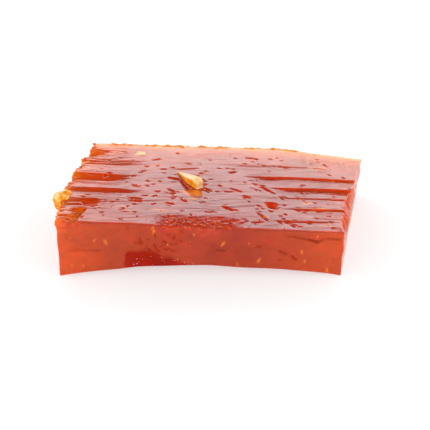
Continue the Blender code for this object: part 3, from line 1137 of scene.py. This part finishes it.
def add_noise(tree, scale, stretch):
    """Noise in the object's own space, drawn out along each axis whose stretch is below 1."""
    where = tree.nodes.new("ShaderNodeTexCoord")
    mapping = tree.nodes.new("ShaderNodeMapping")
    mapping.inputs["Scale"].default_value = stretch
    made = tree.nodes.new("ShaderNodeTexNoise")
    made.inputs["Scale"].default_value = scale
    made.inputs["Detail"].default_value = NOISE_DETAIL
    tree.links.new(where.outputs["Object"], mapping.inputs["Vector"])
    tree.links.new(mapping.outputs["Vector"], made.inputs["Vector"])
    return made.outputs["Fac"]


def noise_ramp(tree, scale, stretch, stops):
    """Noise that a ramp turns into the values of its stops."""
    ramp = add_ramp(tree, stops)
    tree.links.new(add_noise(tree, scale, stretch), ramp.inputs["Fac"])
    return ramp.outputs["Color"]


def add_mix(tree, blend, share, below, above):
    """Mixes two colours. The node has sockets for each kind of data, and these are its colour ones."""
    mix = tree.nodes.new("ShaderNodeMix")
    mix.data_type = "RGBA"
    mix.blend_type = blend
    for number, value in ((MIX_SHARE, share), (MIX_BELOW, below), (MIX_ABOVE, above)):
        if isinstance(value, bpy.types.NodeSocket):
            tree.links.new(value, mix.inputs[number])
        else:
            mix.inputs[number].default_value = value
    return mix.outputs[MIX_RESULT]


def add_bump(tree, shader, scale, stretch, strength, reach):
    bump = tree.nodes.new("ShaderNodeBump")
    bump.inputs["Strength"].default_value = strength
    bump.inputs["Distance"].default_value = reach
    tree.links.new(add_noise(tree, scale, stretch), bump.inputs["Height"])
    tree.links.new(bump.outputs["Normal"], shader.inputs["Normal"])


print("noise detail in every material:", NOISE_DETAIL)

# %% [markdown]
# Light soaks into the gel and comes out a few millimetres further on. Transmission, as for glass,
# would show the table through the bar, which is far cloudier than that. So subsurface scattering
# carries the light, and the wet skin is a sharp gloss over it. The noise gives clouds in the colour, a
# grain of tiny flecks, and faint ripples that are finer than the mesh.

# %% Gel material
CLOUD_SCALE = 160.0
MOTTLE_SCALE = 620.0
FLECK_SCALE = 1100.0
FLECK_TINT = (0.75, 0.22, 0.010, 1.0)
GLOSS_SCALE = 330.0
RIPPLE_SCALE = 1500.0
RIPPLE_STRENGTH = 0.35
RIPPLE_REACH = 0.00006
GEL_REACH = (1.5, 0.4, 0.18)


def gel_material(name, specular, scatter):
    made, tree, shader, body = painted_material(name)
    clouds = noise_ramp(tree, CLOUD_SCALE, (0.6, 1.0, 1.0), ((0.30, 0.86), (0.70, 1.14)))
    mottle = noise_ramp(tree, MOTTLE_SCALE, (0.7, 1.0, 1.0), ((0.35, 0.92), (0.65, 1.06)))
    flecks = noise_ramp(tree, FLECK_SCALE, EVEN, ((0.72, 0.0), (0.80, 0.6)))
    clouded = add_mix(tree, "MULTIPLY", 1.0, body, clouds)
    mottled = add_mix(tree, "MULTIPLY", 1.0, clouded, mottle)
    tree.links.new(add_mix(tree, "MIX", flecks, mottled, FLECK_TINT), shader.inputs["Base Color"])
    gloss = noise_ramp(tree, GLOSS_SCALE, (0.5, 1.0, 1.0), ((0.35, 0.08), (0.70, 0.20)))
    tree.links.new(gloss, shader.inputs["Roughness"])
    add_bump(tree, shader, RIPPLE_SCALE, (0.35, 1.0, 1.0), RIPPLE_STRENGTH, RIPPLE_REACH)
    shader.inputs["IOR"].default_value = 1.42
    shader.inputs["Specular IOR Level"].default_value = specular
    shader.inputs["Subsurface Weight"].default_value = 1.0
    shader.inputs["Subsurface Radius"].default_value = GEL_REACH
    shader.inputs["Subsurface Scale"].default_value = scatter
    return made


gel = gel_material("gel", specular=0.5, scatter=0.001)
dull_gel = gel_material("dull_gel", specular=0.12, scatter=0.001)
skin_gel = gel_material("skin_gel", specular=0.55, scatter=0.001)
thin_gel = gel_material("thin_gel", specular=0.35, scatter=0.00012)
print("finishes of gel: plain, dull, wet skin and thin bits")

# %% [markdown]
# Three of these finishes lie on the block. The skin of the top is wet and mirrors most, and the cut
# faces have a plain gloss. Gel that was torn open is dull: in the gouges, on the steep lips and in the
# tears. The patch of painted shade over the arch is dull too. One painted mask could blend them, but
# their borders are crisp on the real bar, so each face simply takes the finish that belongs to its place
# and slope.

# %% Where the wet skin is gone
OPEN_CUT = 0.10
OPEN_SLOPE = -0.30


def is_open_skin(x, y, slope):
    """Where the wet skin of the top is gone."""
    cuts = np.maximum(cut_marks(x, y, GOUGES), cut_marks(x, y, PITS))
    is_open = (cuts > OPEN_CUT) | (slope[:, 1] < OPEN_SLOPE) | (bare_hollow(x, y) > 0.0)
    is_open = is_open | (corner_band(x, y) > 0.5)
    torn_grain = wobble(x, y, 98, 0.7, 0.6)
    return is_open | ((crumbly(x, y) > 0.35) & (torn_grain < 0.0))


print("the skin is open in cuts deeper than, in mm:", OPEN_CUT)

# %% [markdown]
# The dull finish of the painted shade over the arch breaks up into specks towards its border. A random
# number for each face would give that, but an extrude can leave its faces in another order in every
# run, and the specks would move. So a seeded table of numbers is laid over the front, one to each
# little square.

# %% Specks by place
SPECKLE_SIZE = 0.3
SPECKLES = (400, 80)


def speckles(x, z):
    """A number from 0 to 1 for each little square of the front, the same in every run."""
    draws = np.random.default_rng(3).random(SPECKLES)
    across = np.floor(x / SPECKLE_SIZE).astype(int) % SPECKLES[0]
    up = np.floor(z / SPECKLE_SIZE).astype(int) % SPECKLES[1]
    return draws[across, up]


print("the table of specks covers, in mm:", [round(SPECKLE_SIZE * count) for count in SPECKLES])

# %% [markdown]
# Now each face gets the number of its finish. It could be given in edit mode, to one selection after
# the other, but one array sets all the faces at once.

# %% Finish of each face
PLAIN, DULL, WET = 0, 1, 2


def face_finishes(piece):
    x, y, z = from_frame(face_middles(piece))
    slope = face_slopes(piece)
    in_dent = cut_marks(x, z, FRONT_MARKS) > 0.08
    # The faces of the painted shade over the arch take the dull finish.
    is_dull = (y < 2.5) & ((arch_shade(x, z) > 0.15 + 0.7 * speckles(x, z)) | in_dent)
    is_top = slope[:, 2] > 0.35
    is_dull = is_dull | (is_top & is_open_skin(x, y, slope))
    return np.where(is_dull, DULL, np.where(is_top, WET, PLAIN))


for finish in (gel, dull_gel, skin_gel):
    block.data.materials.append(finish)
finishes = face_finishes(block)
block.data.polygons.foreach_set("material_index", finishes.astype(np.int32))
print("faces that are plain, dull and wet:", np.bincount(finishes).tolist())
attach(block, "root")
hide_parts("halwa_slab")

# %% [markdown]
# ## Pieces of cashew
# Each piece is an oval lump with flat cuts, as a nut is when a knife has split it. The lumps could be
# modelled one by one, but all can be said in the same few numbers: a middle, three lengths, a turn, and
# for each cut its direction, its distance and whether it shows the nut's golden skin or its cream
# inside. Directions and distances are in the lump's own frame, before it is turned.

# %% Cashew lumps
CASHEWS = {
    "cashew_sliver": {
        "centre": (37.7, 24.85, 16.0), "size": (25.2, 7.2, 8.8), "turn": (0.0, 0.0, -61.0),
        "cuts": (
            ((-0.092, -1.0, -0.22), 2.24, "skin"), ((0.133, -1.0, -0.22), 1.74, "skin"),
            ((-0.2, -0.1, 1.0), 2.62, "cut"), ((1.0, 0.3, -0.30), 2.1, "cut"),
            ((-0.19, 1.0, 0.15), 0.52, "cut"), ((0.0, 0.0, -1.0), 3.0, "cut"),
            ((1.0, 1.1, 0.9), 2.9, "cut"), ((0.6, -0.2, 1.0), 3.3, "cut"),
        ),
    },
    "cashew_chunk": {
        "centre": (-0.1, 14.4, 16.3), "size": (5.3, 7.1, 5.2), "turn": (0.0, 8.0, -18.0),
        "cuts": (
            ((0.3, 0.0, 1.0), 2.1, "skin"), ((-0.5, -1.0, 0.1), 2.5, "skin"),
            ((-0.8, 0.5, 0.7), 2.3, "skin"), ((0.9, -0.6, 0.5), 2.3, "skin"),
        ),
    },
    "cashew_chip": {
        "centre": (19.9, 45.2, 16.0), "size": (3.6, 3.0, 2.0), "turn": (0.0, 0.0, 20.0),
        "cuts": (((0.0, 0.0, 1.0), 0.65, "cut"), ((1.0, 0.0, 0.0), 1.3, "cut")),
    },
    "cashew_back_left": {
        "centre": (24.0, 51.2, 9.2), "size": (9.0, 6.4, 5.6), "turn": (0.0, 14.0, 2.0),
        "cuts": (
            ((0.0, 1.0, 0.0), 1.4, "cut"), ((1.0, -0.2, 0.9), 2.7, "cut"),
            ((-0.5, 0.0, -1.0), 2.0, "skin"), ((-1.0, 0.1, 0.35), 3.4, "cut"),
        ),
    },
    "cashew_back_right": {
        "centre": (57.0, 52.2, 6.4), "size": (6.6, 6.0, 5.0), "turn": (0.0, -22.0, 2.0),
        "cuts": (
            ((0.0, 1.0, 0.0), 1.55, "cut"), ((-1.0, 0.2, 0.9), 1.9, "cut"),
            ((-0.9, 0.1, -0.5), 2.3, "skin"), ((0.7, 0.0, 1.0), 2.1, "skin"),
        ),
    },
    "cashew_end": {
        "centre": (3.0, 35.4, 8.4), "size": (6.0, 8.4, 5.4), "turn": (12.0, 0.0, -6.0),
        "cuts": (
            ((-1.0, 0.0, 0.0), 1.35, "cut"), ((0.0, 1.0, 0.9), 2.4, "cut"),
            ((0.0, -1.0, 0.6), 3.0, "skin"), ((0.0, 0.2, -1.0), 2.1, "skin"),
        ),
    },
}
for name, lump in CASHEWS.items():
    print(name, "is", lump["size"], "mm before its", len(lump["cuts"]), "cuts")

# %% [markdown]
# A sphere is stretched in edit mode and cut by one plane after the other. A Bevel could soften the
# edges, but it needs even faces, and the cuts leave long thin ones. So the lump is meshed anew in small
# even cells, and these are smoothed.

# %% From a sphere to a lump
NUT_CELL = 0.13
NUT_SOFTENING = 4


def add_lump(name):
    lump = CASHEWS[name]
    nothing_selected()
    bpy.ops.mesh.primitive_ico_sphere_add(subdivisions=5, radius=1.0, location=(0, 0, 0))
    piece = bpy.context.object
    piece.name = "piece_" + name
    bpy.ops.object.mode_set(mode="EDIT")
    bpy.ops.mesh.select_all(action="SELECT")
    bpy.ops.transform.resize(value=[side / 2.0 for side in lump["size"]])
    for direction, distance, _ in lump["cuts"]:
        normal = Vector(direction).normalized()
        bpy.ops.mesh.select_all(action="SELECT")
        bpy.ops.mesh.bisect(
            plane_co=normal * distance, plane_no=normal, clear_outer=True, use_fill=True
        )
    bpy.ops.object.mode_set(mode="OBJECT")
    cells = piece.modifiers.new("cells", "REMESH")
    cells.mode = "VOXEL"
    cells.voxel_size = NUT_CELL
    softer = piece.modifiers.new("softer", "SMOOTH")
    softer.factor = 0.5
    softer.iterations = NUT_SOFTENING
    for modifier in ("cells", "softer"):
        bpy.ops.object.modifier_apply(modifier=modifier)
    return piece


print("cells of the nuts, in mm:", NUT_CELL)

# %% [markdown]
# A cut through a cashew is nearly flat but has a fine grain, and the chunk at the left end has lost
# its skin and is rough all over. Noise along the normals gives both. The paint is then worked out in
# the lump's own frame: a point close to a plane called cut is cream, and every other one golden. That
# needs no mask drawn by hand, because the cuts themselves say where the cream is.

# %% Grain, paint and place
NUT_GOLD = (0.80, 0.300, 0.010)
NUT_CREAM = (0.74, 0.470, 0.210)
NUT_GRAIN = {"cashew_chunk": 0.60, "cashew_chip": 0.30, "cashew_sliver": 0.09}
OTHER_GRAIN = 0.16


def roughen(piece, height, seed):
    """Moves the points along their normals, and returns how far each one stands out, -1 to 1."""
    points = points_of(piece)
    normals = normals_of(piece)
    swell = np.zeros(len(points))
    for i, point in enumerate(points):
        place = Vector((point[0], point[1], point[2] + seed))
        flake = Vector((1.3 * place.x, 1.3 * place.y, 0.5 * place.z))
        ridges = 0.6 - 2.4 * abs(noise.noise(flake))
        swell[i] = 0.8 * noise.noise(0.5 * place) + 0.5 * ridges + 0.2 * noise.noise(2.4 * place)
    set_points(piece, points + height * swell[:, None] * normals)
    return swell


def nut_paint(piece, cuts, swell, relief):
    """Cream by the planes called cut and on the ridges of the grain, and golden elsewhere."""
    points = points_of(piece)
    creaminess = np.zeros(len(points))
    for direction, distance, finish in cuts:
        normal = np.array(Vector(direction).normalized())
        depth = distance - points @ normal
        if finish == "cut":
            creaminess = np.maximum(creaminess, smooth(1.25 - depth / 0.35))
    creaminess = np.maximum(creaminess, 0.9 * smooth(4.0 * relief * (swell - 0.12)))
    colours = mixed(np.tile(np.array(NUT_GOLD), (len(points), 1)), NUT_CREAM, creaminess)
    # The paint is darker where the grain sinks in, and a little lighter where it stands out.
    return colours * (1.0 + (0.15 + 0.5 * relief) * np.clip(swell, -1.0, 0.3)[:, None])


def place_lump(piece, lump):
    """Turns the lump's mesh, turns its millimetres into metres and takes it to its place."""
    turn = Matrix.Identity(4)
    for degrees, axis in zip(lump["turn"], "XYZ"):
        turn = Matrix.Rotation(math.radians(degrees), 4, axis) @ turn
    piece.data.transform(Matrix.Translation(spot(*lump["centre"])) @ turn @ Matrix.Scale(MM, 4))
    piece.data.update()


print("grain, in mm:", NUT_GRAIN, "and", OTHER_GRAIN, "on the others")

# %% [markdown]
# Cashew is waxy: light goes a little way in, and the syrup leaves a soft sheen. Small pores and a
# slight fibre show in the cut faces. They could be carved, but they are finer than the nut's cells, so
# these are bumps in the material.

# %% Cashew material
NUT_MOTTLE_SCALE = 900.0
SHEEN_SCALE = 600.0
PORE_SCALE = 1800.0
PORE_STRENGTH = 0.5
PORE_DEPTH = 0.00008
NUT_REACH = (1.0, 0.55, 0.2)


def cashew_material():
    made, tree, shader, body = painted_material("cashew")
    mottle = noise_ramp(tree, NUT_MOTTLE_SCALE, EVEN, ((0.35, 0.88), (0.65, 1.08)))
    tree.links.new(add_mix(tree, "MULTIPLY", 1.0, body, mottle), shader.inputs["Base Color"])
    sheen = noise_ramp(tree, SHEEN_SCALE, EVEN, ((0.35, 0.26), (0.65, 0.45)))
    tree.links.new(sheen, shader.inputs["Roughness"])
    add_bump(tree, shader, PORE_SCALE, (1.0, 1.0, 0.5), PORE_STRENGTH, PORE_DEPTH)
    shader.inputs["Specular IOR Level"].default_value = 0.25
    shader.inputs["Subsurface Weight"].default_value = 0.6
    shader.inputs["Subsurface Radius"].default_value = NUT_REACH
    shader.inputs["Subsurface Scale"].default_value = 0.0008
    return made


cashew = cashew_material()
print("cashew material:", len(cashew.node_tree.nodes), "nodes")

# %% [markdown]
# Three pieces show in the top and at its left edge, and the others sit in the back and the left end.
# Each could be built by hand, but they differ only in their row of the table, so one loop makes them
# all. Each takes the place of the solid of its own name.

# %% Six pieces of cashew
for number, name in enumerate(CASHEWS):
    lump = CASHEWS[name]
    piece = add_lump(name)
    grain = NUT_GRAIN.get(name, OTHER_GRAIN)
    swell = roughen(piece, grain, 10.0 * number)
    paint(piece, nut_paint(piece, lump["cuts"], swell, grain))
    place_lump(piece, lump)
    only_selected(piece)
    bpy.ops.object.shade_smooth()
    piece.data.materials.append(cashew)
    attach(piece, "root")
    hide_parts(name)
    print(name, len(piece.data.polygons), "faces")

# %% [markdown]
# ## Crumbs and flecks
# The knife left little torn bits of gel along the back rim, on the left edge and in the tears, and
# tiny bits of nut shine through the skin as amber flecks. A particle system could scatter them, but
# the export drops particles. So one small rough stone is made and copied to every place, each copy
# with its own turn, size and colour, in one joined mesh.

# %% The stone and its copies
STONE_SIZE = 1.5
STONE_ROUNDNESS = 0.9
STONE_ROUGHNESS = 0.30


def make_stone():
    """Points and faces of a cube of four faces a side, blown up nearly to a ball and shaken."""
    nothing_selected()
    bpy.ops.mesh.primitive_cube_add(size=STONE_SIZE, location=(0, 0, 0))
    stone = bpy.context.object
    bpy.ops.object.mode_set(mode="EDIT")
    bpy.ops.mesh.select_all(action="SELECT")
    bpy.ops.mesh.subdivide(number_cuts=1)
    bpy.ops.transform.tosphere(value=STONE_ROUNDNESS)
    bpy.ops.transform.vertex_random(offset=STONE_ROUGHNESS, seed=5)
    bpy.ops.object.mode_set(mode="OBJECT")
    corners = np.array([list(face.vertices) for face in stone.data.polygons])
    shape = points_of(stone)
    bpy.data.objects.remove(stone, do_unlink=True)
    return shape, corners


STONE, STONE_CORNERS = make_stone()
print("stone:", len(STONE_CORNERS), "faces")


def add_stones(name, stones, finish):
    """Joins a copy of the stone for each (place, size, colour) into one piece."""
    random = np.random.default_rng(len(stones))
    points, corners, colours = [], [], []
    for number, (place, size, colour) in enumerate(stones):
        turn = Matrix.Rotation(random.uniform(0.0, 6.28), 3, "Z")
        turn = Matrix.Rotation(random.normal(0.0, 0.4), 3, "X") @ turn
        local = (STONE * random.uniform(0.65, 1.3, 3)) @ np.array(turn).T
        points.append(placed(*(np.array(place) + local * np.array(size) / 2.0).T))
        corners.append(STONE_CORNERS + number * len(STONE))
        colours.append(np.tile(np.array(colour), (len(STONE), 1)))
    mesh = bpy.data.meshes.new(name)
    mesh.from_pydata(np.concatenate(points).tolist(), [], np.concatenate(corners).tolist())
    piece = bpy.data.objects.new(name, mesh)
    bpy.context.scene.collection.objects.link(piece)
    paint(piece, np.concatenate(colours))
    only_selected(piece)
    bpy.ops.object.shade_smooth()
    mesh.materials.append(finish)
    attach(piece, "root")
    print(name, len(stones), "copies,", len(mesh.polygons), "faces")


# %% [markdown]
# A bit has to lie on the gel and not beside it. A ray could find the mesh, but the formulas that
# shaped the bar already know how high the skin and how far out each face is at any place.

# %% Places on the bar's faces
def on_top(x, y, lift=0.0):
    return (x, y, float(top_height(np.array([x]), np.array([y]))[0]) + lift)


def on_front(x, z, lift=0.0):
    at_x, at_z = np.array([x]), np.array([z])
    return (x, float(undercut(at_x, at_z)[0] - front_relief(at_x, at_z)[0]) - lift, z)


def on_back(x, z, lift=0.0):
    at_x, at_z = np.array([x]), np.array([z])
    return (x, float(back_side(at_x)[0] + back_relief(at_x, at_z)[0]) + lift, z)


def on_left(y, z, lift=0.0):
    at_y, at_z = np.array([y]), np.array([z])
    return (float(left_side(at_y, z / LEFT_HEIGHT)[0] - left_relief(at_y, at_z)[0]) - lift, y, z)


print("skin in the middle, in mm:", round(on_top(39.0, 26.0)[2], 2))

# %% [markdown]
# The knife tore little bits of gel loose. They lie thick along the middle of the back rim, and a few on
# each tooth of the left edge. Each could be placed by hand, but nobody would miss one, so a seeded draw
# sets their places and sizes, along the edges where the photo shows them.

# %% Torn bits on the rims
FLECK_COLOUR = (0.85, 0.200, 0.010)
RIM_BITS = 110
EDGE_BITS = 60


def rim_bits(random):
    """Thick along the middle of the back rim, and the largest of all."""
    bits = []
    for _ in range(RIM_BITS):
        x = 8.0 + 62.0 * random.random() ** 0.9
        size = random.uniform(0.35, 1.25)
        y = float(back_side(x)) - random.uniform(0.0, 0.9)
        colour = GEL_AMBER if random.random() < 0.6 else FLECK_COLOUR
        bits.append((on_top(x, y, -0.1), (1.6 * size, 0.8 * size, 0.6 * size), colour))
    return bits


def edge_bits(random):
    """Along the left edge, from orange to amber."""
    bits = []
    for _ in range(EDGE_BITS):
        y = random.uniform(1.0, 52.0)
        size = random.uniform(0.3, 0.85)
        x = float(left_side(y, 1.0)) + random.uniform(0.0, 0.9)
        share = random.random() ** 2
        colour = np.array(GEL_ORANGE) * (1.0 - share) + np.array(GEL_AMBER) * share
        bits.append((on_top(x, y, -0.1), (1.2 * size, 0.8 * size, 0.7 * size), colour))
    return bits


draw = np.random.default_rng(101)
torn_bits = rim_bits(draw) + edge_bits(draw)
print("bits on the rims:", len(torn_bits))

# %% [markdown]
# The two tears of the front edge are full of smaller bits. The crumbs of the height field can't
# overhang, so without loose bits on them the tears would look as if they had melted.

# %% Torn bits in the tears
CORNER_BITS = 34
TEAR_BITS = 90


def corner_bits(random):
    """Flat rust-coloured bits at the foot of the torn corner's wall."""
    bits = []
    for _ in range(CORNER_BITS):
        y = random.uniform(0.2, CORNER_BACK)
        x = CORNER_WALL_X + CORNER_WALL_LEAN * y - random.uniform(0.2, 3.4)
        size = random.uniform(0.30, 0.75)
        share = 0.6 * random.random()
        colour = np.array(GEL_RUST) * (1.0 - share) + np.array(FLECK_COLOUR) * share
        bits.append((on_top(x, y, -0.06), (1.6 * size, 0.7 * size, 0.5 * size), colour))
    return bits


def tear_bits(random):
    """Small bits in the torn middle of the front edge."""
    bits = []
    for _ in range(TEAR_BITS):
        x = random.normal(38.0, 8.0)
        y = abs(random.normal(0.0, 2.6))
        size = random.uniform(0.2, 0.5)
        colour = GEL_WALL if random.random() < 0.75 else GEL_ORANGE
        bits.append((on_top(x, y), (1.3 * size, size, 0.8 * size), colour))
    return bits


torn_bits = torn_bits + corner_bits(draw) + tear_bits(draw)
print("with those in the tears:", len(torn_bits))

# %% [markdown]
# Beside the gouges and over the arch sit tiny pale beads whose colour is a painted glint, the sparkle
# of light on the wet gel. A dot of paint in the skin would look the same from every side, while a bead
# stands out and mirrors the tent too. All the bits are then joined in one piece, because they share one
# finish and ride with one solid.

# %% Painted glints
PAINTED_GLINT_COLOUR = (0.90, 0.64, 0.56)
PITS_PER_GLINT = 7
ARCH_GLINTS = 16


def glints(random):
    """Pale beads painted as glints: at the ends of all gouges and some pits, and over the arch."""
    bits = []
    for _, _, to_x, to_y, half, _ in list(GOUGES) + PITS[::PITS_PER_GLINT]:
        place = on_top(to_x + 0.5 * half, to_y + 0.8 * half)
        size = random.uniform(0.15, 0.28)
        bits.append((place, (1.5 * size, size, 0.6 * size), PAINTED_GLINT_COLOUR))
    for _ in range(ARCH_GLINTS):
        x = random.uniform(20.0, 37.0)
        z = float(foot_height(np.array([x]), np.array([0.0]))[0]) + random.uniform(0.2, 3.6)
        size = random.uniform(0.10, 0.20)
        bits.append((on_front(x, z), (1.3 * size, 0.5 * size, size), PAINTED_GLINT_COLOUR))
    return bits


# The pale beads among these bits are painted glints.
torn_bits = torn_bits + glints(draw)
add_stones("torn_gel_bits_and_glints", torn_bits, thin_gel)

# %% [markdown]
# The flecks are bits of nut that lie at the very surface, half sunk in the gel. Paint alone could show
# them, but a little relief catches the light. Those of the knife faces have their painted glow round
# them, and each is the same stone again, narrow and upright.

# %% Amber flecks
TOP_FLECKS = (
    # x and y on the top, and size
    (83.5, 45.6, 1.5), (62.5, 46.6, 1.3), (74.4, 4.3, 1.0), (25.5, 37.5, 1.1), (73.8, 40.4, 1.0),
    (68.4, 18.2, 0.9), (69.2, 17.0, 0.9), (24.0, 8.6, 0.8), (28.0, 8.2, 1.0), (48.6, 8.2, 0.7),
)
FLECK_SINK = -0.10


def flecks():
    found = []
    for table, on_face in ((FRONT_FLECKS, on_front), (BACK_FLECKS, on_back)):
        for x, z, size in table:
            found.append((on_face(x, z, FLECK_SINK), (0.36 * size, 0.5, 0.6 * size), FLECK_COLOUR))
    for y, z, size in END_FLECKS:
        found.append((on_left(y, z, FLECK_SINK), (0.5, 0.36 * size, 0.6 * size), FLECK_COLOUR))
    for x, y, size in TOP_FLECKS:
        found.append((on_top(x, y, FLECK_SINK), (size, 0.6 * size, 0.5), FLECK_COLOUR))
    return found


add_stones("amber_flecks", flecks(), thin_gel)
